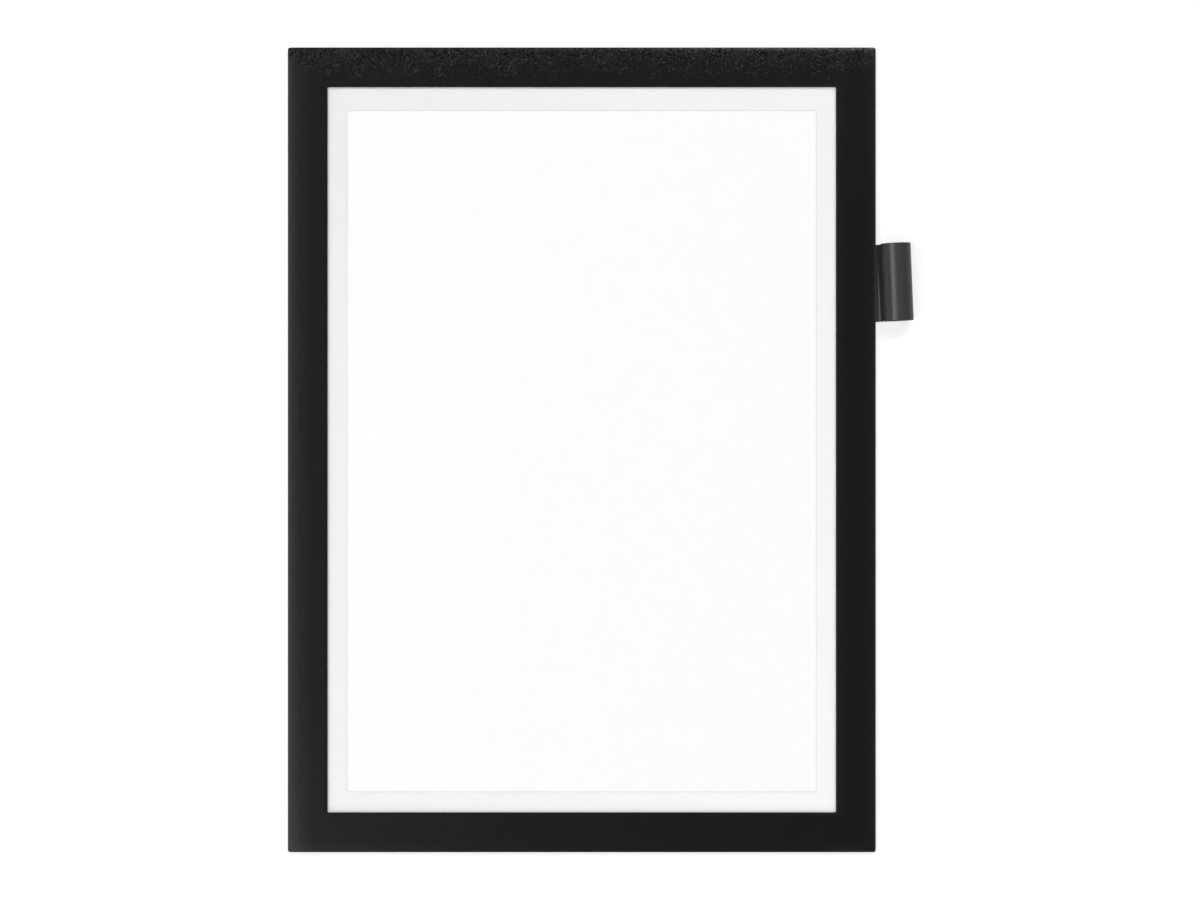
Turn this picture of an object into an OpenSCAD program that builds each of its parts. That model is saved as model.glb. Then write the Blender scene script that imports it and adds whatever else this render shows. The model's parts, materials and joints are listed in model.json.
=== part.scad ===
// Magnetic display frame for one sheet, to stick on a wall or a pane of glass.
// The front border swings open on a film hinge along its left side and closes on magnets.
// The origin is at the middle of the back. X points right, Z points up, and the front faces -Y.
// Depths are counted from the wall: a depth d lies at y = -d.

/* [Sheet] */
// Width of the sheet
sheet_w = 210; // [148:1:420]
// Height of the sheet
sheet_h = 297; // [210:1:594]
// Thickness of the sheet
sheet_t = 0.12; // [0.08:0.01:0.3]
// Free space round the sheet in its pocket, on each side
sheet_slack = 0.5; // [0.3:0.1:1.5]

/* [Border] */
// From the sheet's edge to the outer edge of the frame
margin_w = 13; // [11:0.5:30]
// How far the border covers the sheet
overlap_w = 3; // [2:0.5:6]
// Radius of the frame's outer corners
corner_r = 1; // [0.4:0.1:3]
// Radius of the window's corners
window_r = 0.5; // [0.3:0.1:3]
// Thickness of the black film
film_t = 0.3; // [0.2:0.05:0.5]
// Outer radius of the film's bend round the left edge
fold_r = 0.7; // [0.6:0.05:1.2]

/* [Magnets] */
// Thickness of the magnetic strips in the front border
front_magnet_t = 0.45; // [0.4:0.05:1.2]
// Thickness of the magnetic strips on the back
rear_magnet_t = 0.45; // [0.4:0.05:1.2]
// From the frame's outer edge to the strips and to the clear film
edge_inset = 0.6; // [0.6:0.1:1.5]
// From the window's edge back to the front strips
window_setback = 0.5; // [0.3:0.1:1.5]
// Joint between two strips
butt_gap = 0.2; // [0.1:0.05:0.5]

/* [Writing window] */
// Thickness of the clear film
lip_t = 0.2; // [0.15:0.05:0.35]
// Width of the clear film inside the border, at the left
lip_left = 7.8; // [3:0.1:20]
// Width of the clear film inside the border, at the right
lip_right = 7.9; // [3:0.1:20]
// Width of the clear film inside the border, at the top
lip_top = 9.4; // [3:0.1:20]
// Width of the clear film inside the border, at the bottom
lip_bottom = 8.2; // [3:0.1:20]
// Radius of the corners of the opening in the clear film
lip_r = 0.8; // [0.3:0.1:3]

/* [Back] */
// Thickness of the clear back panel
panel_t = 0.3; // [0.2:0.05:1]
// Thickness of the adhesive ring
glue_t = 0.65; // [0.65:0.05:1.5]
// From the frame's outer edge to the adhesive ring
glue_inset = 2; // [1:0.5:4]
// Width of the adhesive ring
glue_w = 12; // [11:0.5:14]

/* [Pen loop] */
// Height of the loop
loop_h = 31; // [15:1:60]
// Outer radius of the loop
loop_r = 6; // [5:0.5:10]
// Thickness of the loop's strip
loop_t = 0.5; // [0.4:0.05:0.6]
// Outer radius of the crease between loop and tab
crease_r = 1.5; // [0.8:0.1:1.8]
// Radius inside the loop's corner
inside_r = 1.2; // [0.5:0.1:2]
// From the frame's edge to the side of the loop
loop_gap = 2.3; // [2.3:0.1:6]
// How far the tab reaches behind the frame
tab_reach = 9.6; // [7:0.1:10]
// Height of the loop's middle above the frame's middle
loop_z = 67.2; // [-60:0.1:100]
// How far the loop leans to the left at its top, in degrees
loop_skew = 2.4; // [0:0.1:3]
// From the tab's edges to its adhesive pad
pad_margin = 1; // [0.5:0.1:2]
// Free space round the tab in the adhesive ring
tab_slack = 0.6; // [0.4:0.1:1]

/* [Hidden] */
$fn = 48;
// Overrun of every cut
cut_over = 1;

// Plan sizes
frame_w = sheet_w + 2 * margin_w;
frame_h = sheet_h + 2 * margin_w;
window_w = sheet_w - 2 * overlap_w;
window_h = sheet_h - 2 * overlap_w;
pocket_w = sheet_w + 2 * sheet_slack;
pocket_h = sheet_h + 2 * sheet_slack;
inner_w = frame_w - 2 * edge_inset;
inner_h = frame_h - 2 * edge_inset;
front_strip_w = margin_w + overlap_w - edge_inset - window_setback;
rear_strip_w = margin_w - edge_inset - sheet_slack;

// Depths from the wall, from the back to the front
panel_d = glue_t;
turned_film_d = panel_d + panel_t;
rear_magnet_d = turned_film_d + film_t;
parting_d = rear_magnet_d + rear_magnet_t;
front_magnet_d = parting_d + lip_t;
cover_d = front_magnet_d + front_magnet_t;
front_d = cover_d + film_t;

// The bend is no larger than the edges that it rounds
bend_r = min(fold_r, parting_d - turned_film_d, front_d - parting_d);

// Pen loop, whose outline is drawn round the middle of its tube
loop_x = frame_w / 2 + loop_gap + loop_r;
tab_end_x = frame_w / 2 - tab_reach - loop_x;
bore_r = loop_r - loop_t;
pad_t = glue_t - loop_t;

// A flat layer, from a plan outline, at a depth from the wall
module layer(depth, thickness) {
    rotate([90, 0, 0])
        translate([0, 0, depth])
            linear_extrude(thickness)
                children();
}

// An outline of width and depth, drawn out over a height and centred on it
module upright(height) {
    mirror([0, 1, 0])
        translate([0, 0, -height / 2])
            linear_extrude(height)
                children();
}

// A rectangle with round corners, centred
module rounded_rect(w, h, r) {
    square([w - 2 * r, h], center = true);
    square([w, h - 2 * r], center = true);
    for (sx = [-1, 1], sy = [-1, 1])
        translate([sx * (w / 2 - r), sy * (h / 2 - r)])
            circle(r);
}

module frame_outline() {
    rounded_rect(frame_w, frame_h, corner_r);
}

// One side of a ring of strips: top and bottom run the whole width, and the sides fit between them.
// At the left the strips begin where the film's bend ends, because its inside is round up to there.
module ring_side(side, strip_w) {
    flat_run = side == "top" || side == "bottom";
    away = (side == "top" || side == "right") ? 1 : -1;
    across = (flat_run ? inner_h : inner_w) / 2 - strip_w / 2;
    upright_run = inner_h - 2 * strip_w - 2 * butt_gap;
    intersection() {
        translate(flat_run ? [0, away * across] : [away * across, 0])
            square(flat_run ? [inner_w, strip_w] : [strip_w, upright_run], center = true);
        translate([bend_r - frame_w / 2, -frame_h / 2])
            square([frame_w, frame_h]);
    }
}

// The film bent round the left edge, as width and depth: a flat of the film, and its wall at the left.
// The flat lies at the outer face, and the wall runs from there back to the parting plane.
module bent_film(height) {
    difference() {
        bent_block(frame_w, height, bend_r);
        translate([film_t, -cut_over])
            bent_block(frame_w + cut_over, height + cut_over - film_t, bend_r - film_t);
    }
}

// A block with its origin at the left of its base, and its upper left corner rounded
module bent_block(w, h, r) {
    translate([r, 0])
        square([w - r, h]);
    square([w, h - r]);
    translate([r, h - r])
        circle(r);
}

module front_cover() {
    color("#1f2121")
        difference() {
            intersection() {
                layer(parting_d, front_d - parting_d)
                    frame_outline();
                upright(frame_h + 2 * cut_over)
                    translate([-frame_w / 2, parting_d])
                        bent_film(front_d - parting_d);
            }
            layer(parting_d - cut_over, front_d - parting_d + 2 * cut_over)
                rounded_rect(window_w, window_h, window_r);
        }
}

module retaining_film() {
    opening_w = window_w - lip_left - lip_right;
    opening_h = window_h - lip_top - lip_bottom;
    color([0.93, 0.94, 0.95, 0.35])
        layer(parting_d, lip_t)
            difference() {
                square([inner_w, inner_h], center = true);
                translate([(lip_left - lip_right) / 2, (lip_bottom - lip_top) / 2])
                    rounded_rect(opening_w, opening_h, lip_r);
            }
}

module front_magnet(side) {
    color("#35302c")
        layer(front_magnet_d, front_magnet_t)
            ring_side(side, front_strip_w);
}

module rear_magnet(side) {
    color("#35302c")
        layer(rear_magnet_d, rear_magnet_t)
            ring_side(side, rear_strip_w);
}

module front_magnet_top() { front_magnet("top"); }
module front_magnet_bottom() { front_magnet("bottom"); }
module front_magnet_left() { front_magnet("left"); }
module front_magnet_right() { front_magnet("right"); }
module rear_magnet_top() { rear_magnet("top"); }
module rear_magnet_bottom() { rear_magnet("bottom"); }
module rear_magnet_left() { rear_magnet("left"); }
module rear_magnet_right() { rear_magnet("right"); }

// The same film, turned under the magnets of the back: its wall meets the cover's at the hinge line
module rear_border() {
    color("#1b1c1c")
        difference() {
            intersection() {
                layer(turned_film_d, parting_d - turned_film_d)
                    frame_outline();
                upright(frame_h + 2 * cut_over)
                    translate([-frame_w / 2, parting_d])
                        mirror([0, 1, 0])
                            bent_film(parting_d - turned_film_d);
            }
            layer(turned_film_d - cut_over, film_t + rear_magnet_t + 2 * cut_over)
                square([pocket_w, pocket_h], center = true);
        }
}

module insert_sheet() {
    color("white")
        layer(turned_film_d, sheet_t)
            square([sheet_w, sheet_h], center = true);
}

module back_panel() {
    color([0.9, 0.93, 0.95, 0.4])
        layer(panel_d, panel_t)
            frame_outline();
}

// The ring has a notch at the right, which leaves room for the pen loop's tab
module adhesive_ring() {
    ring_w = frame_w - 2 * glue_inset;
    ring_h = frame_h - 2 * glue_inset;
    color("#d9d6cf")
        layer(0, glue_t)
            difference() {
                square([ring_w, ring_h], center = true);
                square([ring_w - 2 * glue_w, ring_h - 2 * glue_w], center = true);
                beside_loop()
                    translate([tab_end_x - tab_slack, -loop_h / 2 - tab_slack])
                        square([tab_reach + loop_gap + loop_r, loop_h + 2 * tab_slack]);
            }
}

// Plan position of the pen loop's tube, leaning with it
module beside_loop() {
    translate([loop_x, loop_z])
        rotate(loop_skew)
            children();
}

// Outer outline of the pen loop, as width and depth: a round tube with a square corner by the wall, its tab and its crease
module loop_outside() {
    translate([0, loop_r])
        circle(loop_r);
    translate([-loop_r, 0])
        square([loop_r, loop_r]);
    translate([tab_end_x, 0])
        square([-tab_end_x, loop_t]);
    difference() {
        translate([-loop_r - crease_r, 0])
            square([crease_r + loop_t, loop_t + crease_r]);
        translate([-loop_r - crease_r, loop_t + crease_r])
            circle(crease_r);
    }
}

module loop_inside() {
    translate([0, loop_r])
        circle(bore_r);
    translate([-bore_r, loop_t + inside_r])
        square([bore_r, loop_r - loop_t - inside_r]);
    translate([inside_r - bore_r, loop_t])
        square([bore_r - inside_r, loop_r - loop_t]);
    translate([inside_r - bore_r, loop_t + inside_r])
        circle(inside_r);
}

module pen_loop() {
    color("#3c3d3e")
        translate([loop_x, 0, loop_z])
            rotate([0, -loop_skew, 0])
                upright(loop_h)
                    difference() {
                        loop_outside();
                        loop_inside();
                    }
}

module pen_loop_pad() {
    color("#d9d6cf")
        layer(loop_t, pad_t)
            beside_loop()
                translate([tab_end_x + pad_margin, -loop_h / 2 + pad_margin])
                    square([tab_reach - 2 * pad_margin, loop_h - 2 * pad_margin]);
}

back_panel();
adhesive_ring();
rear_border();
rear_magnet_top();
rear_magnet_bottom();
rear_magnet_left();
rear_magnet_right();
insert_sheet();
pen_loop();
pen_loop_pad();
front_cover();
retaining_film();
front_magnet_top();
front_magnet_bottom();
front_magnet_left();
front_magnet_right();
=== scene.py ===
"""The looks of the magnetic display frame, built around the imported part.

Lengths are in millimetres and become metres as each mesh is made. Only the lamps are given in metres.
A depth is counted from the wall, so a depth d lies at y = -d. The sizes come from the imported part, apart
from those that no box or mount gives.
"""

import json
import math

import bmesh
import bpy
from mathutils import Matrix, Vector, noise


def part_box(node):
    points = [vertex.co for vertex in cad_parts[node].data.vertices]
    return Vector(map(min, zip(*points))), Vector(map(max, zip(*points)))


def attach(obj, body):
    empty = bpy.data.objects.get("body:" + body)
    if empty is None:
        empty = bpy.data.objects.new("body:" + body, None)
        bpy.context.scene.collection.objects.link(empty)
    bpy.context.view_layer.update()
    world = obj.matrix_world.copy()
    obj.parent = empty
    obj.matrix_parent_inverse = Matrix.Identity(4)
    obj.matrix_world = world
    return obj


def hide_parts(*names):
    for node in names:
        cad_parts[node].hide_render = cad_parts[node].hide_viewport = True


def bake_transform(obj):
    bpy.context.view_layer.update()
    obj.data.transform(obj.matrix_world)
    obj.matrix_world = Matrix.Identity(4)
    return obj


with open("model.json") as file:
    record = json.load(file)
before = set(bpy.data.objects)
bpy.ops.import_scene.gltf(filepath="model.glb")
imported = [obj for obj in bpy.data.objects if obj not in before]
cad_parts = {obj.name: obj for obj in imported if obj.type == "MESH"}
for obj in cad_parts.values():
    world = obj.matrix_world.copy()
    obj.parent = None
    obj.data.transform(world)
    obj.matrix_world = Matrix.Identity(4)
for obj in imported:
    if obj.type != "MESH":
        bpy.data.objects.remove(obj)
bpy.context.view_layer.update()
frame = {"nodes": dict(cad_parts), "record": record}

MM = 0.001
WHITE = (1, 1, 1, 1)


def span(node):
    """A CAD node's size as ((x low, x high), (depth low, depth high), (z low, z high))."""
    lo, hi = (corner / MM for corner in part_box(node))
    return (lo.x, hi.x), (-hi.y, -lo.y), (lo.z, hi.z)


def mount(name):
    """The record's entry for a mount, with its place, its axis and its dimensions."""
    return next(m for m in frame["record"]["mounts"] if m["name"] == name)


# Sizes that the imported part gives
(LEFT_X, RIGHT_X), (PARTING_D, FRONT_D), (LOW_Z, TOP_Z) = span("front_cover")
TURNED_D = span("rear_border")[1][0]
REAR_MAGNET_D = span("rear_magnet_right")[1][0]
POCKET_X = span("rear_magnet_right")[0][0]
POCKET_Z = span("rear_magnet_top")[2][0]
FILM_T = REAR_MAGNET_D - TURNED_D

# Sizes that follow the part's source
CORNER_R = 1.0
WINDOW_SETBACK = 0.5
WINDOW_R = 0.5
WINDOW_X = span("front_magnet_right")[0][0] - WINDOW_SETBACK
WINDOW_Z = span("front_magnet_top")[2][0] - WINDOW_SETBACK
BEND_R = 0.7
LIP_LEFT, LIP_RIGHT, LIP_TOP, LIP_BOTTOM = 7.8, 7.9, 9.4, 8.2
LIP_R = 0.8
TAB_REACH = 9.6
CREASE_R = 1.5
INSIDE_R = 1.2

# Pieces that lie face to face in the part keep this much apart here, so that each face shows cleanly
SEAM = 0.02


# Camera

PHOTO_W = 1200
PHOTO_CENTRE_PX = (600, 450)
FRAME_PX = (581.75, 449.8)
PX_PER_MM = 2.492
SENSOR = 36.0
VIEW_DISTANCE = 1400.0


def make_camera():
    """The photograph looks straight at the frame, with the frame a little left of its middle."""
    data = bpy.data.cameras.new("camera")
    data.sensor_width = SENSOR
    data.lens = SENSOR * VIEW_DISTANCE * PX_PER_MM / PHOTO_W
    camera = bpy.data.objects.new("camera", data)
    aside = (PHOTO_CENTRE_PX[0] - FRAME_PX[0]) / PX_PER_MM
    above = (FRAME_PX[1] - PHOTO_CENTRE_PX[1]) / PX_PER_MM
    camera.location = Vector((aside, -VIEW_DISTANCE - FRONT_D, above)) * MM
    camera.rotation_euler = (math.pi / 2, 0, 0)
    bpy.context.collection.objects.link(camera)
    bpy.context.scene.camera = camera


# Node helpers

CLEAR_IOR = 1.48


class Nodes:
    """A node tree that is built up from nothing."""

    def __init__(self, tree):
        self.tree = tree
        self.tree.nodes.clear()

    def add(self, kind, **values):
        """A node. A value is a socket's, by its name with _ for spaces, or else the node's own setting."""
        node = self.tree.nodes.new(kind)
        for key, value in values.items():
            socket = node.inputs.get(key.replace("_", " "))
            if socket is None:
                setattr(node, key, value)
            elif isinstance(value, bpy.types.NodeSocket):
                self.join(value, socket)
            else:
                socket.default_value = value
        return node

    def join(self, start, end):
        self.tree.links.new(start, end)

    def spread(self, value, low, high, start=0.0, end=1.0, **settings):
        """Maps start..end of a value to low..high."""
        node = self.add("ShaderNodeMapRange", Value=value, **settings)
        for socket, number in zip(("From Min", "From Max", "To Min", "To Max"), (start, end, low, high)):
            node.inputs[socket].default_value = number
        return node.outputs["Result"]

    def maths(self, operation, a, b):
        node = self.add("ShaderNodeMath", operation=operation)
        for socket, value in zip(node.inputs, (a, b)):
            if isinstance(value, bpy.types.NodeSocket):
                self.join(value, socket)
            else:
                socket.default_value = value
        return node.outputs[0]


class Look(Nodes):
    """A material that is built up from one Principled shader. Its textures read the piece's rest places."""

    def __init__(self, name, **sockets):
        self.material = bpy.data.materials.new(name)
        self.material.use_nodes = True
        super().__init__(self.material.node_tree)
        self.out = self.add("ShaderNodeOutputMaterial")
        self.shader = self.add("ShaderNodeBsdfPrincipled", **sockets)
        self.join(self.shader.outputs[0], self.out.inputs["Surface"])
        self.place = self.attribute("place").outputs["Vector"]

    def attribute(self, name):
        return self.add("ShaderNodeAttribute", attribute_name=name)

    def rub(self):
        """How rubbed the surface is and how much painted sheen it has, from 0 to 1."""
        return self.attribute("rub").outputs["Fac"]

    def rest(self, axis):
        """The rest place's X, Y or Z in mm."""
        return self.add("ShaderNodeSeparateXYZ", Vector=self.place).outputs[axis]

    def noise(self, size, detail=2.0, roughness=0.5, stretch=(1, 1, 1)):
        """Noise from 0 to 1 with features of about that size in mm. A stretch under 1 makes them longer."""
        place = self.add("ShaderNodeMapping", Vector=self.place, Scale=stretch).outputs[0]
        values = {"Scale": 1 / size, "Detail": detail, "Roughness": roughness}
        return self.add("ShaderNodeTexNoise", Vector=place, **values).outputs["Fac"]

    def cells(self, size, feature="F1"):
        """Cells of about that size in mm."""
        return self.add("ShaderNodeTexVoronoi", feature=feature, Vector=self.place, Scale=1 / size)

    def tint(self, value, dark, light):
        """A colour between dark and light as value goes from 0 to 1."""
        ramp = self.add("ShaderNodeValToRGB", Fac=value)
        ramp.color_ramp.elements[0].color = (*dark, 1)
        ramp.color_ramp.elements[1].color = (*light, 1)
        return ramp.outputs["Color"]

    def colour(self, socket):
        self.join(socket, self.shader.inputs["Base Color"])

    def roughness(self, socket):
        self.join(socket, self.shader.inputs["Roughness"])

    def gloss(self, socket):
        self.join(socket, self.shader.inputs["Specular IOR Level"])

    def glow(self, socket):
        self.join(socket, self.shader.inputs["Emission Strength"])

    def bump(self, *layers):
        """Relief from layers of (height from 0 to 1, depth in mm), the first laid on first."""
        normal = None
        for height, depth in layers:
            node = self.add("ShaderNodeBump", Height=height, Distance=depth * MM)
            if normal is not None:
                self.join(normal, node.inputs["Normal"])
            normal = node.outputs["Normal"]
        self.join(normal, self.shader.inputs["Normal"])

    def mix(self, share, first, second):
        """Makes the surface of the first shader, with that share of the second."""
        mix = self.add("ShaderNodeMixShader", Fac=share)
        self.join(first.outputs[0], mix.inputs[1])
        self.join(second.outputs[0], mix.inputs[2])
        self.join(mix.outputs[0], self.out.inputs["Surface"])

    def see_through(self, colour):
        """What the outer faces don't mirror goes straight through, tinted by the colour."""
        clear = self.add("ShaderNodeBsdfTransparent", Color=colour)
        fresnel = self.add("ShaderNodeFresnel", IOR=CLEAR_IOR).outputs[0]
        outer = self.maths("SUBTRACT", 1.0, self.add("ShaderNodeNewGeometry").outputs["Backfacing"])
        self.mix(self.maths("MULTIPLY", fresnel, outer), clear, self.shader)


# The black film's look, with sizes and relief in mm

FILM_DARK, FILM_LIGHT = (0.0018, 0.0022, 0.0023), (0.046, 0.047, 0.047)
FILM_TONE = 0.07
FILM_GLOSS = 0.22
FILM_ROUGHNESS = (0.22, 0.255)
FILM_RELIEF, FINE_RELIEF = 0.02, 0.008
GRAIN_START_Z, GRAIN_END_Z, GRAIN_GROWTH = 146.0, 159.5, 4.0
GRAIN_SIZE, GRAIN_RELIEF = 1.0, 1.25


def black_film_look():
    """Black film with a sand-like grain at its top, painted paler at the fold as a sheen and along its
    edges as a sheen with wear.
    """
    look = Look("black_film")
    fine = look.noise(0.3, detail=3)
    nearness = look.spread(look.rest("Z"), low=0.4, high=1.0, start=GRAIN_START_Z, end=GRAIN_END_Z)
    towards_top = look.maths("POWER", nearness, GRAIN_GROWTH)
    islands = look.spread(look.noise(6.0, detail=3), low=0.2, high=1.0, start=0.42, end=0.60)
    clusters = look.maths("MULTIPLY", islands, towards_top)
    # Darker and lighter specks at random, a painted shade and glint of the grain, strongest towards the
    # top; the same pattern varies the gloss
    uneven = look.spread(look.noise(0.5), low=-0.6, high=0.6, start=0.3, end=0.7)
    grain_shade_and_glints = look.maths("MULTIPLY", uneven, clusters)
    look.colour(film_colour(look, towards_top, grain_shade_and_glints))
    look.gloss(look.spread(grain_shade_and_glints, low=0.0, high=2 * FILM_GLOSS, start=-2 * FILM_GLOSS, end=2 * FILM_GLOSS))
    patches = look.spread(look.noise(38.0, detail=3), *FILM_ROUGHNESS)
    look.roughness(look.maths("ADD", patches, look.spread(fine, low=-0.03, high=0.03)))
    grain = look.maths("MULTIPLY", sand_grain(look), clusters)
    look.bump((look.noise(4.0), FILM_RELIEF), (grain, GRAIN_RELIEF), (fine, FINE_RELIEF))
    return look.material


def film_colour(look, towards_top, grain_shade_and_glints):
    """Near black, with darker and lighter specks as painted grain shade and glints, paler in patches
    towards the top as mottling with a painted sheen, and paler at the fold as a painted sheen and along the
    edges as painted sheen with wear.
    """
    # Painted sheen at the fold, and painted sheen with wear along the edges
    rubbed = look.maths("MULTIPLY", look.rub(), look.spread(look.noise(1.7), low=0.5, high=1.0))
    # Paler patches towards the top: partly mottling, partly a painted sheen where the light from above
    # falls
    cloudy = look.spread(look.noise(11.0), low=0.0, high=0.18, start=0.4, end=0.7)
    clouds = look.maths("MULTIPLY", cloudy, towards_top)
    tone = look.maths("ADD", look.maths("ADD", rubbed, FILM_TONE), look.maths("ADD", grain_shade_and_glints, clouds))
    return look.tint(tone, FILM_DARK, FILM_LIGHT)


def sand_grain(look):
    """Single grains of sand under the film, of uneven height."""
    cells = look.cells(GRAIN_SIZE)
    grains = look.spread(cells.outputs["Distance"], low=1.0, high=0.0, start=0.0, end=0.42)
    chance = look.add("ShaderNodeSeparateColor", Color=cells.outputs["Color"]).outputs[0]
    return look.maths("MULTIPLY", grains, look.spread(chance, low=0.0, high=1.0, start=0.25, end=1.0))


# The magnets' look

RUBBER_DARK, RUBBER_LIGHT = (0.022, 0.019, 0.017), (0.041, 0.036, 0.032)
RUBBER_ROUGHNESS = (0.55, 0.75)
ROLLED_RELIEF, PIT_RELIEF = 0.008, 0.02


def magnet_look():
    """Brown-black magnetic rubber: matt, mottled and finely pitted, with faint lines from the rolling."""
    look = Look("magnetic_rubber", Specular_IOR_Level=0.35)
    mottle = look.noise(6.0, detail=5, roughness=0.6)
    look.colour(look.tint(mottle, RUBBER_DARK, RUBBER_LIGHT))
    look.roughness(look.spread(look.noise(1.2, detail=3), *RUBBER_ROUGHNESS))
    rolled = look.noise(0.5, stretch=(1, 1, 0.04))
    pitted = look.noise(0.18, detail=4)
    look.bump((rolled, ROLLED_RELIEF), (pitted, PIT_RELIEF))
    return look.material


# The clear sheets' looks, with what they let through where they are thin and where they are thick, and with
# a painted shade on the writing film

HAZE_DARK, HAZE_LIGHT = (0.93, 0.93, 0.93), (0.98, 0.98, 0.98)
RIPPLE, FINE_RIPPLE_SHARE = 0.02, 0.04
DENSITY_SIZE = 45.0
CLEAR_FILM_CLEAREST, CLEAR_FILM_DIMMEST = (0.998, 0.999, 1.0), (0.965, 0.966, 0.967)
CLEAR_FILM_ROUGHNESS = 0.07
# The writing film's uneven density, and its painted shade towards the left and the top with how far that
# reaches
DENSITY, SHADE_LEFT, SHADE_TOP = (0.29, 0.39), 0.23, 0.19
SHADE_REACH_X, SHADE_REACH_Z = 100.0, 145.0
PANEL_THIN, PANEL_THICK = (0.975, 0.982, 0.985), (0.965, 0.974, 0.978)
PANEL_ROUGHNESS = 0.05
CUT_DARK, CUT_LIGHT = (0.36, 0.37, 0.38), (0.52, 0.53, 0.54)
CUT_ROUGHNESS = (0.4, 0.6)
CUT_RELIEF = 0.02


def clear_look(name, roughness):
    """A clear plastic sheet that mirrors a little, with faint haze and an uneven surface."""
    look = Look(name, Metallic=1.0)
    haze = look.noise(22.0, detail=4)
    look.colour(look.tint(haze, HAZE_DARK, HAZE_LIGHT))
    look.roughness(look.spread(haze, low=roughness * 0.7, high=roughness * 1.3))
    look.bump((look.noise(30.0), RIPPLE), (look.noise(2.5), RIPPLE * FINE_RIPPLE_SHARE))
    return look


def clear_film_look():
    """The writing film, unevenly dense, with a painted shade that darkens it towards the left and the top.
    """
    look = clear_look("clear_film", CLEAR_FILM_ROUGHNESS)
    # Painted shade: the film lets less through towards the left and the top
    across = look.spread(look.rest("X"), SHADE_LEFT, -SHADE_LEFT, -SHADE_REACH_X, SHADE_REACH_X)
    up = look.spread(look.rest("Z"), -SHADE_TOP, SHADE_TOP, -SHADE_REACH_Z, SHADE_REACH_Z)
    uneven = look.spread(look.noise(DENSITY_SIZE), *DENSITY)
    density_and_shade = look.maths("ADD", look.maths("ADD", across, up), uneven)
    look.see_through(look.tint(density_and_shade, CLEAR_FILM_CLEAREST, CLEAR_FILM_DIMMEST))
    return look.material


def clear_panel_look():
    """The back panel, very slightly blue."""
    look = clear_look("clear_panel", PANEL_ROUGHNESS)
    look.see_through(look.tint(look.noise(DENSITY_SIZE), PANEL_THIN, PANEL_THICK))
    return look.material


def cut_edge_look():
    """The die-cut rim of the clear film: frosted and grey, partly its own cut and partly a painted shade of
    the edge, so it shows as a fine grey line.
    """
    look = Look("clear_film_cut", IOR=1.46, Alpha=0.55)
    look.colour(look.tint(look.noise(3.0, detail=3), CUT_DARK, CUT_LIGHT))
    look.roughness(look.spread(look.noise(0.4), *CUT_ROUGHNESS))
    look.bump((look.noise(0.3, stretch=(1, 3, 1)), CUT_RELIEF))
    return look.material


# The looks of the paper, the adhesive and the loop

PAPER_DARK, PAPER_LIGHT = (0.926, 0.926, 0.926), (0.956, 0.956, 0.956)
PAPER_ROUGHNESS = (0.8, 0.95)
CLOUD_RELIEF, FIBRE_RELIEF = 0.006, 0.01
FOAM_DARK, FOAM_LIGHT = (0.60, 0.585, 0.53), (0.72, 0.705, 0.65)
FOAM_ROUGHNESS = (0.42, 0.6)
FOAM_RELIEF, FOAM_CELL_RELIEF = 0.05, 0.03
LOOP_PLAIN, LOOP_RUBBED = (0.036, 0.037, 0.0375), (0.055, 0.056, 0.057)
LOOP_ROUGHNESS = (0.28, 0.33)
LOOP_GLOSS, LOOP_LIMB_GLOSS = 0.42, 0.16
LOOP_RELIEF, DRAWN_RELIEF, LOOP_FINE_RELIEF = 0.012, 0.0004, 0.0005


def paper_look():
    """Smooth white office paper, with a faint cloudy formation and fine fibres."""
    look = Look("paper", Specular_IOR_Level=0.2)
    clouds = look.noise(5.0, detail=4, roughness=0.6)
    look.colour(look.tint(clouds, PAPER_DARK, PAPER_LIGHT))
    look.roughness(look.spread(look.noise(0.8), *PAPER_ROUGHNESS))
    fibres = look.noise(0.25, detail=4, roughness=0.7, stretch=(1, 1, 0.35))
    look.bump((clouds, CLOUD_RELIEF), (fibres, FIBRE_RELIEF))
    return look.material


def adhesive_look():
    """Milky foam tape with small cells just under its tacky face."""
    look = Look("adhesive", Specular_IOR_Level=0.4)
    foam = look.cells(0.35, feature="SMOOTH_F1").outputs["Distance"]
    look.colour(look.tint(look.noise(9.0, detail=4), FOAM_DARK, FOAM_LIGHT))
    look.roughness(look.spread(look.noise(2.0, detail=3), *FOAM_ROUGHNESS))
    look.bump((look.noise(7.0), FOAM_RELIEF), (foam, FOAM_CELL_RELIEF))
    return look.material


def loop_look():
    """Dark soft plastic, smooth and half glossy, with fine lines along the profile it was drawn through.

    Its gloss fades where it turns away from the view, as on soft plastic with a bloom.
    """
    look = Look("loop_plastic")
    facing = look.add("ShaderNodeLayerWeight", Blend=0.5).outputs["Facing"]
    look.gloss(look.spread(facing, LOOP_GLOSS, LOOP_LIMB_GLOSS, start=0.2, end=0.5))
    look.colour(look.tint(look.rub(), LOOP_PLAIN, LOOP_RUBBED))
    look.roughness(look.spread(look.noise(3.5, detail=4), *LOOP_ROUGHNESS))
    drawn = look.noise(0.35, stretch=(1, 1, 0.02))
    look.bump(
        (look.noise(16.0, detail=1), LOOP_RELIEF),
        (drawn, DRAWN_RELIEF),
        (look.noise(0.2), LOOP_FINE_RELIEF),
    )
    return look.material


# Mesh helpers

# Grid lines lie this far from each edge, so that the flat faces stay flat in the smooth shading
HOLDS = (0.3, 0.7, 1.3)
ROUND_SHARES = (0.25, 0.5, 0.75, 1.0)
RIM_TOLERANCE = 0.0001
RIDGE_ANGLE = math.radians(60)
SHARP_ANGLE = math.radians(40)


def merged(*groups):
    """All the groups' places in order, without repeats."""
    return sorted({round(place, 6) for group in groups for place in group})


def steps(start, end, longest):
    """Evenly spaced places from start to end, both included."""
    count = max(1, math.ceil((end - start) / longest))
    return [start + (end - start) * i / count for i in range(count + 1)]


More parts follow.
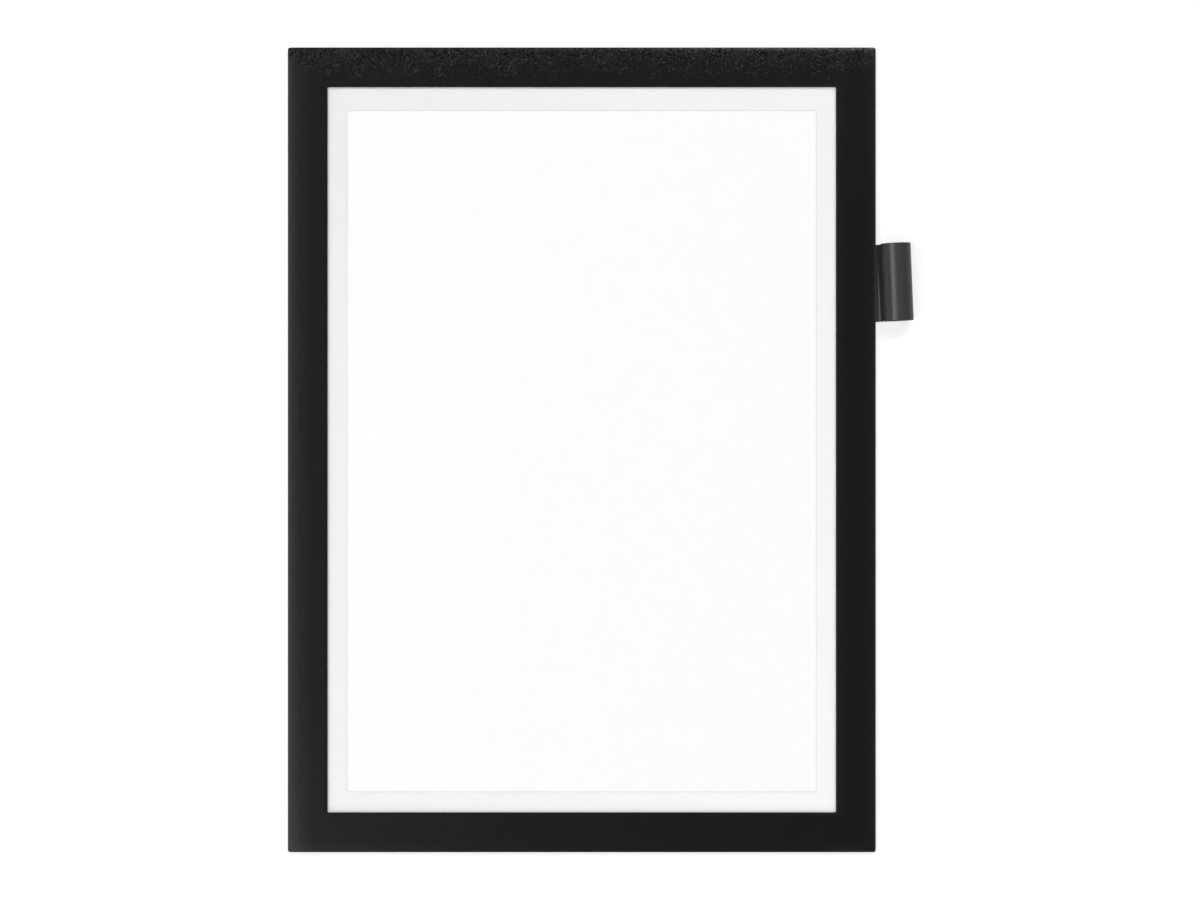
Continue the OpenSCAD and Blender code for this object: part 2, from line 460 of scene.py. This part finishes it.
def lines(edges, rounds, longest):
    """Grid lines at the edges, close beside them and over the round corners, and at most longest apart."""
    places = set(edges)
    for place in edges:
        beside = [place + side * hold for side in (-1, 1) for hold in HOLDS]
        places.update(p for p in beside if min(edges) < p < max(edges))
    for place, reach in rounds:
        places.update(place + reach * share for share in ROUND_SHARES)
    places = sorted(places)
    return merged(*(steps(a, b, longest) for a, b in zip(places, places[1:])))


def plan(bm, us, zs, kept, corner):
    """Flat faces over the grid lines where kept(u, z) is true, with corner(u, z) moving each grid point."""
    points = {}

    def point(i, j):
        if (i, j) not in points:
            points[i, j] = bm.verts.new((*corner(us[i], zs[j]), 0))
        return points[i, j]

    for i in range(len(us) - 1):
        for j in range(len(zs) - 1):
            if kept((us[i] + us[i + 1]) / 2, (zs[j] + zs[j + 1]) / 2):
                bm.faces.new((point(i, j), point(i + 1, j), point(i + 1, j + 1), point(i, j + 1)))


def round_outside(x, z, corner_x, corner_z, r):
    """Moves a point near a square outer corner so that the corner becomes round."""
    reach_x, reach_z = math.copysign(r, corner_x), math.copysign(r, corner_z)
    a = abs(x - (corner_x - reach_x)) / r
    b = abs(z - (corner_z - reach_z)) / r
    same_corner = x * corner_x > 0 and z * corner_z > 0
    beyond = same_corner and abs(x) > abs(corner_x) - r and abs(z) > abs(corner_z) - r
    if not beyond or a * b == 0:
        return x, z
    shrink = max(a, b) / math.hypot(a, b)
    return corner_x - reach_x * (1 - a * shrink), corner_z - reach_z * (1 - b * shrink)


def round_hole(x, z, hole, r):
    """Moves a point on a rectangular hole's rim near its corners so that these become round."""
    (x0, x1), (z0, z1) = hole
    cx, sx = (x1 - r, 1) if abs(x - x1) < abs(x - x0) else (x0 + r, -1)
    cz, sz = (z1 - r, 1) if abs(z - z1) < abs(z - z0) else (z0 + r, -1)
    along_x, along_z = (x - cx) * sx / r, (z - cz) * sz / r
    off_rim = abs(max(along_x, along_z) - 1) > RIM_TOLERANCE
    if off_rim or min(along_x, along_z) < 0:
        return x, z
    angle = math.pi / 4 * (along_z if along_x >= along_z else 2 - along_x)
    return cx + sx * r * math.cos(angle), cz + sz * r * math.sin(angle)


def sharper_edges(bm, angle):
    """The edges where two faces meet at more than that angle."""
    return [e for e in bm.edges if len(e.link_faces) == 2 and e.calc_face_angle() > angle]


def thicken(bm, thickness, rim, segments=2):
    """Gives a flat mesh its thickness along z, and rounds its rim."""
    flat = list(bm.faces)
    made = bmesh.ops.extrude_face_region(bm, geom=flat)["geom"]
    for vert in (v for v in made if isinstance(v, bmesh.types.BMVert)):
        vert.co.z += thickness
    bmesh.ops.recalc_face_normals(bm, faces=bm.faces)
    sharp = sharper_edges(bm, RIDGE_ANGLE)
    ridge = [e for e in sharp if any(abs(f.normal.z) > 0.5 for f in e.link_faces)]
    bmesh.ops.bevel(bm, geom=ridge, offset=rim, segments=segments, profile=0.5, affect="EDGES")


def point_layers(bm):
    """Makes the layers for each point's rest place in mm, and for how rubbed it is and how much painted
    sheen it has, from 0 to 1.
    """
    return bm.verts.layers.float_vector.new("place"), bm.verts.layers.float.new("rub")


def piece(name, bm, material, body, stands_for):
    """Makes the object from a mesh in mm, and hides the CAD nodes that it stands for.

    A mesh that comes without rest places gets the places where its points lie. A piece without a body is
    left unattached.
    """
    if bm.verts.layers.float_vector.get("place") is None:
        place, _ = point_layers(bm)
        for vert in bm.verts:
            vert[place] = vert.co
    bmesh.ops.transform(bm, matrix=Matrix.Scale(MM, 4), verts=bm.verts)
    bmesh.ops.recalc_face_normals(bm, faces=bm.faces)
    mesh = bpy.data.meshes.new(name)
    bm.to_mesh(mesh)
    bm.free()
    mesh.shade_smooth()
    mesh.set_sharp_from_angle(angle=SHARP_ANGLE)
    mesh.materials.append(material)
    obj = bpy.data.objects.new(name, mesh)
    bpy.context.collection.objects.link(obj)
    if body:
        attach(obj, body)
    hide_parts(*stands_for)
    return obj


def stand(bm, depth):
    """Turns a mesh drawn as x, z and height into the frame's own place, with its base at a depth."""
    for vert in bm.verts:
        x, z, height = vert.co
        vert.co = (x, -depth - height, z)


def soft_wave(x, z, level, length):
    """A soft wave over the frame's plane, from 0 to 1. Another level gives another wave."""
    return 0.5 + 0.5 * noise.noise(Vector((x, z, level)) / length)


# The black film

FILM_RIM = 0.07

# The longest steps between grid lines: in general, round the bend, and on the slopes
FILM_STEP, BEND_STEP, FOLD_SLOPE_STEP, TOP_SLOPE_STEP = 4.0, 0.07, 0.6, 1.0

# Each slope, dip, painted sheen and wear, with how far it reaches from its edge
FOLD_SLOPE, FOLD_SLOPE_REACH = 0.24, 9.0
FOLD_ROUND, FOLD_ROUND_REACH = 0.02, 2.2
TOP_SLOPE, TOP_SLOPE_REACH = 0.20, 9.0
TOP_ROUND, TOP_ROUND_REACH = 0.08, 2.5
SIDE_SLOPE, SIDE_SLOPE_REACH = 0.05, 5.0
EDGE_DIP, WINDOW_DIP, DIP_REACH = 0.05, 0.03, 0.9
# The edges are painted paler, partly as wear and partly as a painted sheen where they catch the light, most
# of all at the right; the fold is painted paler as a sheen
EDGE_SHEEN_AND_RUB, RIGHT_SHEEN_AND_RUB, EDGE_SHEEN_AND_RUB_REACH = 0.1, 0.8, 0.5
FOLD_SHEEN, FOLD_SHEEN_REACH = 0.3, 1.3

FILM_WAVE, FILM_WAVE_LENGTH, FILM_WAVE_LEVEL = 0.03, 28.0, 0.0

# The turned-under film has no window, and counts as this far from one
NO_WINDOW = 1.0


def fold_lengths(side):
    """The straight wall from the hinge line to the bend, and from the hinge line to the bend's end."""
    wall = (FRONT_D - PARTING_D if side > 0 else PARTING_D - TURNED_D) - BEND_R
    return wall, wall + BEND_R * math.pi / 2


def unfolded(x, side):
    """The flat film's coordinate for a place x on the front (side 1) or the turned-under (side -1) film."""
    return side * (fold_lengths(side)[1] + x - LEFT_X - BEND_R)


def slope(distance, drop, reach):
    """A drop at an edge that fades out smoothly at its reach."""
    return drop * max(0.0, 1 - distance / reach) ** 2


def border_slope(x, z):
    """How far the front border slopes down towards its outer edges, most of all towards the fold."""
    from_bend = x - LEFT_X - BEND_R
    return (
        slope(from_bend, FOLD_SLOPE, FOLD_SLOPE_REACH)
        + slope(from_bend, FOLD_ROUND, FOLD_ROUND_REACH)
        + slope(TOP_Z - z, TOP_SLOPE, TOP_SLOPE_REACH)
        + slope(TOP_Z - z, TOP_ROUND, TOP_ROUND_REACH)
        + slope(min(RIGHT_X - x, z - LOW_Z), SIDE_SLOPE, SIDE_SLOPE_REACH)
    )


def face_dip(x, z):
    """How far the front face lies lower still, at the film's cut edges and in soft waves."""
    from_edge = min(RIGHT_X - x, TOP_Z - z, z - LOW_Z)
    from_window = max(abs(x) - WINDOW_X, abs(z) - WINDOW_Z)
    return (
        EDGE_DIP * math.exp(-((max(0.0, from_edge) / DIP_REACH) ** 2))
        + WINDOW_DIP * math.exp(-((max(0.0, from_window) / DIP_REACH) ** 2))
        + FILM_WAVE * soft_wave(x, z, FILM_WAVE_LEVEL, FILM_WAVE_LENGTH)
    )


def film_sheen_and_rub(co):
    """How much paler the film is painted, from 0 to 1: a painted sheen at the fold, and a painted sheen
    with wear along its edges, most of all at the right.
    """
    from_window = max(abs(co.x) - WINDOW_X, abs(co.z) - WINDOW_Z)
    on_front = -co.y > PARTING_D
    from_edge = min(RIGHT_X - co.x, TOP_Z - abs(co.z), from_window if on_front else NO_WINDOW)
    edge_sheen_and_wear = EDGE_SHEEN_AND_RUB + RIGHT_SHEEN_AND_RUB * max(0.0, co.x / RIGHT_X) ** 4
    edge = edge_sheen_and_wear * math.exp(-max(0.0, from_edge) / EDGE_SHEEN_AND_RUB_REACH)
    from_fold = max(0.0, co.x - LEFT_X - BEND_R)
    return max(edge, FOLD_SHEEN * math.exp(-from_fold / FOLD_SHEEN_REACH))


def fold(u, z, inward):
    """Where a point of the flat film lies once folded: at u and z, and so far inside the outer face."""
    side = 1 if u >= 0 else -1
    wall, flat_from = fold_lengths(side)
    u = abs(u)
    if u <= wall:
        x, depth, turned = LEFT_X + inward, u, 0.0
    elif u <= flat_from:
        angle = (u - wall) / BEND_R
        x = LEFT_X + BEND_R - (BEND_R - inward) * math.cos(angle)
        depth, turned = wall + (BEND_R - inward) * math.sin(angle), math.sin(angle) ** 2
    else:
        x, depth, turned = LEFT_X + BEND_R + u - flat_from, wall + BEND_R - inward, 1.0
    if side > 0:
        depth -= (border_slope(x, z) + face_dip(x, z) * (1 - inward / FILM_T)) * turned
    corner = max(0.0, LEFT_X + CORNER_R - x)
    drop = CORNER_R - math.sqrt(max(0.0, CORNER_R**2 - corner**2))
    z -= math.copysign(drop * max(0.0, 1 - (TOP_Z - abs(z)) / (4 * CORNER_R)), z)
    return x, PARTING_D + side * depth, z


def flat_film():
    """The film before it is folded, as u across, z and height. The front lies at the greater u."""
    front_end, rear_end = unfolded(RIGHT_X, 1), unfolded(RIGHT_X, -1)
    window_u = (unfolded(-WINDOW_X, 1), unfolded(WINDOW_X, 1))
    pocket_u = (unfolded(POCKET_X, -1), unfolded(-POCKET_X, -1))
    window = (window_u, (-WINDOW_Z, WINDOW_Z))
    rounds_u = [
        (rear_end, CORNER_R),
        (window_u[0], WINDOW_R),
        (window_u[1], -WINDOW_R),
        (front_end, -CORNER_R),
    ]
    rounds_z = [(LOW_Z, CORNER_R), (TOP_Z, -CORNER_R), (-WINDOW_Z, WINDOW_R), (WINDOW_Z, -WINDOW_R)]
    rear_bend, front_bend = -fold_lengths(-1)[1], fold_lengths(1)[1]
    us = merged(
        lines([rear_end, *pocket_u, 0, *window_u, front_end], rounds_u, FILM_STEP),
        steps(rear_bend, front_bend, BEND_STEP),
        steps(front_bend, front_bend + FOLD_SLOPE_REACH, FOLD_SLOPE_STEP),
    )
    zs = merged(
        lines([LOW_Z, -POCKET_Z, -WINDOW_Z, WINDOW_Z, POCKET_Z, TOP_Z], rounds_z, FILM_STEP),
        steps(TOP_Z - TOP_SLOPE_REACH, TOP_Z - CORNER_R, TOP_SLOPE_STEP),
    )

    def kept(u, z):
        in_window = window_u[0] < u < window_u[1] and abs(z) < WINDOW_Z
        in_pocket = pocket_u[0] < u < pocket_u[1] and abs(z) < POCKET_Z
        return not in_window and not in_pocket

    def corner(u, z):
        u, z = round_hole(u, z, window, WINDOW_R)
        end = front_end if u > 0 else rear_end
        return round_outside(u, z, end, math.copysign(TOP_Z, z), CORNER_R)

    bm = bmesh.new()
    plan(bm, us, zs, kept, corner)
    thicken(bm, FILM_T, FILM_RIM)
    return bm


def make_black_film(material):
    """One piece of film: the front border, the fold down the left side and the border turned under."""
    bm = flat_film()
    place, rub = point_layers(bm)
    for vert in bm.verts:
        u, z, height = vert.co
        x, depth, up = fold(u, z, FILM_T - height)
        vert[place] = (u, height, z)
        vert.co = (x, -max(depth, TURNED_D + SEAM), up)
        # Painted sheen at the fold, and painted sheen with wear along the edges
        vert[rub] = film_sheen_and_rub(vert.co)
    film = piece("border_film", bm, material, None, ("front_cover", "rear_border"))
    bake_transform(film)


# The other pieces that lie flat

CLEAR_FILM_RIM, PAPER_RIM, PANEL_RIM, MAGNET_RIM = 0.07, 0.02, 0.06, 0.08
RING_RIM, PAD_RIM = 0.1, 0.04
CUT_REACH = 1.05 * CLEAR_FILM_RIM
SLAB_STEP, PAPER_STEP, MAGNET_STEP = 6.0, 5.0, 3.0
PAPER_LIFT = 0.01
PAPER_WAVE, PAPER_WAVE_LENGTH, PAPER_WAVE_LEVEL = 0.1, 70.0, 5.0
PAPER_CURL_POWER = 6
CUT_WAVE, CUT_WAVE_LENGTH = 0.02, 5.0

# Places far apart in the noise, one for each direction, so that the three don't move together
CUT_WAVE_STARTS = (0, 31, 57)


def make_slab(node, rim, hole=None, hole_r=0.0, corner_r=0.0, lift=SEAM, longest=SLAB_STEP):
    """A flat mesh in the place of a CAD node, with its hole, round corners and rounded rims."""
    (x0, x1), (d0, d1), (z0, z1) = span(node)
    hx, hz = hole or ((), ())
    rounds_x = [(x0, corner_r), (x1, -corner_r)] * bool(corner_r)
    rounds_z = [(z0, corner_r), (z1, -corner_r)] * bool(corner_r)
    if hole:
        rounds_x += [(hx[0], hole_r), (hx[1], -hole_r)]
        rounds_z += [(hz[0], hole_r), (hz[1], -hole_r)]

    def kept(x, z):
        return not (hole and hx[0] < x < hx[1] and hz[0] < z < hz[1])

    def corner(x, z):
        if hole:
            x, z = round_hole(x, z, hole, hole_r)
        if corner_r:
            x, z = round_outside(x, z, math.copysign(x1, x), math.copysign(z1, z), corner_r)
        return x, z

    xs = lines([x0, *hx, x1], rounds_x, longest)
    zs = lines([z0, *hz, z1], rounds_z, longest)
    bm = bmesh.new()
    plan(bm, xs, zs, kept, corner)
    thicken(bm, d1 - d0 - 2 * lift, rim)
    stand(bm, d0 + lift)
    return bm


def make_retaining_film(material, cut_material):
    """The clear film inside the border, with its die-cut opening for writing."""
    x0, x1 = LIP_LEFT - WINDOW_X, WINDOW_X - LIP_RIGHT
    z0, z1 = LIP_BOTTOM - WINDOW_Z, WINDOW_Z - LIP_TOP
    bm = make_slab("retaining_film", CLEAR_FILM_RIM, ((x0, x1), (z0, z1)), LIP_R)
    film = piece("writing_film", bm, material, "front", ("retaining_film",))
    film.data.materials.append(cut_material)
    # The faces at the opening's rim get the grey cut look, partly a painted shade of the edge
    for face in film.data.polygons:
        x, _, z = face.center / MM
        on_cut = x0 - CUT_REACH < x < x1 + CUT_REACH and z0 - CUT_REACH < z < z1 + CUT_REACH
        face.material_index = int(on_cut)


def make_sheet(material):
    """The sheet lies on the back panel in slight waves, and curls up at its edges to the clear film."""
    bm = make_slab("insert_sheet", PAPER_RIM, lift=PAPER_LIFT, longest=PAPER_STEP)
    (_, half_w), (_, face), (_, half_h) = span("insert_sheet")
    room = PARTING_D - face - 2 * SEAM
    for vert in bm.verts:
        x, _, z = vert.co
        edge = max(abs(x) / half_w, abs(z) / half_h)
        wave = soft_wave(x, z, PAPER_WAVE_LEVEL, PAPER_WAVE_LENGTH)
        vert.co.y -= SEAM + PAPER_WAVE * wave + (room - PAPER_WAVE) * edge**PAPER_CURL_POWER
    piece("paper_sheet", bm, material, "back", ("insert_sheet",))


def make_back_panel(material):
    bm = make_slab("back_panel", PANEL_RIM, corner_r=CORNER_R)
    piece("panel", bm, material, "back", ("back_panel",))


def make_magnet(node, material):
    """A strip of magnetic rubber, cut a little unevenly and slightly rounded along its edges."""
    bm = make_slab(node, MAGNET_RIM, longest=MAGNET_STEP)
    body = "front" if node.startswith("front") else "back"
    base, face = span(node)[1]
    for vert in bm.verts:
        if body == "front":
            vert.co.y += border_slope(vert.co.x, vert.co.z) * (-vert.co.y - base) / (face - base)
        place = vert.co / CUT_WAVE_LENGTH
        waves = [noise.noise(place + Vector((start, 0, 0))) for start in CUT_WAVE_STARTS]
        vert.co += Vector(waves) * CUT_WAVE
    piece(node + "_strip", bm, material, body, (node,))


def make_tape(name, node, material, rim):
    """A piece of adhesive with the CAD node's own outline, its edges rounded."""
    bm = bmesh.new()
    bm.from_mesh(frame["nodes"][node].data)
    bmesh.ops.transform(bm, matrix=Matrix.Scale(1 / MM, 4), verts=bm.verts)
    bmesh.ops.remove_doubles(bm, verts=bm.verts, dist=0.001)
    bmesh.ops.dissolve_limit(bm, angle_limit=math.radians(1), verts=bm.verts, edges=bm.edges)
    sharp = sharper_edges(bm, SHARP_ANGLE)
    bmesh.ops.bevel(bm, geom=sharp, offset=rim, segments=3, profile=0.5, affect="EDGES")
    bmesh.ops.triangulate(bm, faces=[f for f in bm.faces if len(f.verts) > 4])
    piece(name, bm, material, "back", (node,))


# The pen loop

LOOP_RIM = 0.14
LOOP_RUB_REACH = 0.3
ARC_STEP = math.radians(3)

# The tube is cut across this far from its ends, counted in rims, so that its side stays smooth up to them
END_CUTS = (3, 9)


def arc(centre, r, start, end):
    """Points on a circle from one angle to another, in degrees."""
    start, end = math.radians(start), math.radians(end)
    count = max(2, math.ceil(abs(end - start) / ARC_STEP))
    angles = [start + (end - start) * i / count for i in range(count + 1)]
    return [(centre[0] + r * math.cos(a), centre[1] + r * math.sin(a)) for a in angles]


def loop_outlines(outer_r, bore_r, tab_end):
    """The drawn profile's outside and inside, as x from the tube's middle and depth."""
    strip_t = outer_r - bore_r
    lip = strip_t / 2
    outside = [
        *arc((0, outer_r), outer_r, -90, 180),
        *arc((-outer_r - CREASE_R, strip_t + CREASE_R), CREASE_R, 0, -90),
        *arc((tab_end + lip, lip), lip, 90, 270),
    ]
    inside = [
        *arc((0, outer_r), bore_r, -90, 180),
        *arc((INSIDE_R - bore_r, strip_t + INSIDE_R), INSIDE_R, 180, 270),
    ]
    return outside, inside


def drawn_out(outlines, length):
    """A tube with those outlines and that length along z."""
    bm = bmesh.new()
    for outline in outlines:
        ring = [bm.verts.new((x, depth, 0)) for x, depth in dict.fromkeys(outline)]
        for a, b in zip(ring, ring[1:] + ring[:1]):
            bm.edges.new((a, b))
    bmesh.ops.triangle_fill(bm, use_beauty=True, edges=bm.edges)
    thicken(bm, length, LOOP_RIM, segments=3)
    near, far = (rims * LOOP_RIM for rims in END_CUTS)
    for height in (near, far, length / 2, length - far, length - near):
        everything = [*bm.verts, *bm.edges, *bm.faces]
        bmesh.ops.bisect_plane(bm, geom=everything, plane_co=(0, 0, height), plane_no=(0, 0, 1))
    return bm


def make_pen_loop(material):
    """The loop's tube and tab, at the place and with the lean of the part's mount, rubbed at both ends."""
    grip = mount("pen_grip")
    centre = Vector(grip["pos_m"]) / MM
    axis = Vector(grip["axis"])
    length = grip["dims"]["length_mm"]
    tab_end = RIGHT_X - TAB_REACH - centre.x
    bm = drawn_out(loop_outlines(-centre.y, grip["dims"]["r_mm"], tab_end), length)
    lean = Matrix.Rotation(-math.atan2(-axis.x, axis.z), 4, "Y")
    place, rub = point_layers(bm)
    for vert in bm.verts:
        x, depth, along = vert.co
        vert[place] = vert.co
        vert[rub] = max(0.0, 1 - min(along, length - along) / LOOP_RUB_REACH)
        vert.co = lean @ Vector((x, 0, along - length / 2)) + Vector((centre.x, -depth, centre.z))
    piece("loop", bm, material, "back", ("pen_loop",))


# Stage

WALL_GAP = 0.2
STAGE_HALF = 3000.0
FLOOR_Z = -1200.0
STAGE_ROUGHNESS = 0.9
WALL_TONE, WALL_GLOW = 0.50, 0.58
FLOOR_TONE, FLOOR_GLOW = 0.9, 0.3


def stage_look(name, tone, glow=0.0):
    """Matt grey that glows white."""
    look = Look(name, Roughness=STAGE_ROUGHNESS, Specular_IOR_Level=0.0, Base_Color=(tone, tone, tone, 1))
    look.shader.inputs["Emission Color"].default_value = WHITE
    look.shader.inputs["Emission Strength"].default_value = glow
    return look


def wall_material():
    """A white wall, seen only from its front and stopping no light, so that the back can be seen."""
    look = stage_look("wall", WALL_TONE, WALL_GLOW)
    path = look.add("ShaderNodeLightPath")
    behind = look.add("ShaderNodeNewGeometry").outputs["Backfacing"]
    unseen = look.maths("MAXIMUM", path.outputs["Is Shadow Ray"], path.outputs["Is Diffuse Ray"])
    clear = look.add("ShaderNodeBsdfTransparent")
    look.mix(look.maths("MAXIMUM", behind, unseen), look.shader, clear)
    return look.material


def floor_material():
    """A pale floor that glows only for the camera."""
    look = stage_look("floor", FLOOR_TONE)
    seen = look.add("ShaderNodeLightPath").outputs["Is Camera Ray"]
    look.glow(look.maths("MULTIPLY", seen, FLOOR_GLOW))
    return look.material


def make_plane(name, corners, material):
    mesh = bpy.data.meshes.new(name)
    mesh.from_pydata([Vector(c) * MM for c in corners], [], [range(4)])
    mesh.materials.append(material)
    obj = bpy.data.objects.new(name, mesh)
    bpy.context.collection.objects.link(obj)


def make_stage():
    """The wall that the frame is on, and a pale floor below the view. The wall's front faces -Y."""
    half = STAGE_HALF
    low = [(-half, WALL_GAP, FLOOR_Z), (half, WALL_GAP, FLOOR_Z)]
    high = [(half, WALL_GAP, half), (-half, WALL_GAP, half)]
    make_plane("wall", low + high, wall_material())
    near = [(-half, -half, FLOOR_Z), (half, -half, FLOOR_Z)]
    far = [(half, half, FLOOR_Z), (-half, half, FLOOR_Z)]
    make_plane("floor", near + far, floor_material())


# Light

FRONT_FILL, BACK_FILL = 0.22, 0.95

# Each lamp's name, place, size, level and target, in metres: a key from above at the right, a large soft
# box and a strip at the left, and a small box from below at the left
LAMPS = (
    ("key", (0.90, -3.90, 2.55), (1.10, 1.10), 0.345, (0.05, 0, 0.02)),
    ("left_box", (-1.84, -3.04, 0.0), (2.40, 1.60), 0.19, (0, 0, 0)),
    ("left_strip", (-1.82, -2.80, 0.0), (0.30, 1.40), 0.07, (0, 0, 0)),
    ("low_box", (-0.66, -2.50, -0.76), (0.50, 0.50), 0.045, (-0.10, 0, -0.15)),
)


def make_lamp(name, place, size, level, target):
    """A soft box that lights a white surface in the frame's plane to that level, where 1 is white."""
    data = bpy.data.lights.new(name, "AREA")
    data.shape = "RECTANGLE"
    data.size, data.size_y = size
    beam = Vector(target) - Vector(place)
    facing = abs(beam.normalized().y)
    data.energy = level * (math.pi * beam.length) ** 2 / facing
    lamp = bpy.data.objects.new(name, data)
    lamp.location = place
    lamp.rotation_mode = "QUATERNION"
    lamp.rotation_quaternion = beam.to_track_quat("-Z", "Y")
    lamp.visible_camera = False
    bpy.context.collection.objects.link(lamp)


def make_world():
    """Plain white air, bright on the wall's side, as a lit wall would be, and dimmer on the camera's."""
    world = bpy.data.worlds.new("studio")
    bpy.context.scene.world = world
    world.use_nodes = True
    nodes = Nodes(world.node_tree)
    direction = nodes.add("ShaderNodeTexCoord").outputs["Generated"]
    backwards = nodes.add("ShaderNodeSeparateXYZ", Vector=direction).outputs["Y"]
    level = nodes.spread(backwards, FRONT_FILL, BACK_FILL, end=0.5, interpolation_type="SMOOTHSTEP")
    seen = nodes.add("ShaderNodeLightPath").outputs["Is Camera Ray"]
    strength = nodes.maths("MAXIMUM", level, seen)
    background = nodes.add("ShaderNodeBackground", Color=WHITE, Strength=strength)
    out = nodes.add("ShaderNodeOutputWorld")
    nodes.join(background.outputs[0], out.inputs["Surface"])


# Everything


def main():
    make_camera()
    make_stage()
    make_world()
    for lamp in LAMPS:
        make_lamp(*lamp)
    bpy.context.scene.view_settings.view_transform = "Standard"
    make_black_film(black_film_look())
    make_retaining_film(clear_film_look(), cut_edge_look())
    make_sheet(paper_look())
    make_back_panel(clear_panel_look())
    rubber = magnet_look()
    for part in ("front", "rear"):
        for side in ("top", "bottom", "left", "right"):
            make_magnet(f"{part}_magnet_{side}", rubber)
    adhesive = adhesive_look()
    make_tape("adhesive_tape", "adhesive_ring", adhesive, RING_RIM)
    make_tape("loop_tape", "pen_loop_pad", adhesive, PAD_RIM)
    make_pen_loop(loop_look())


main()
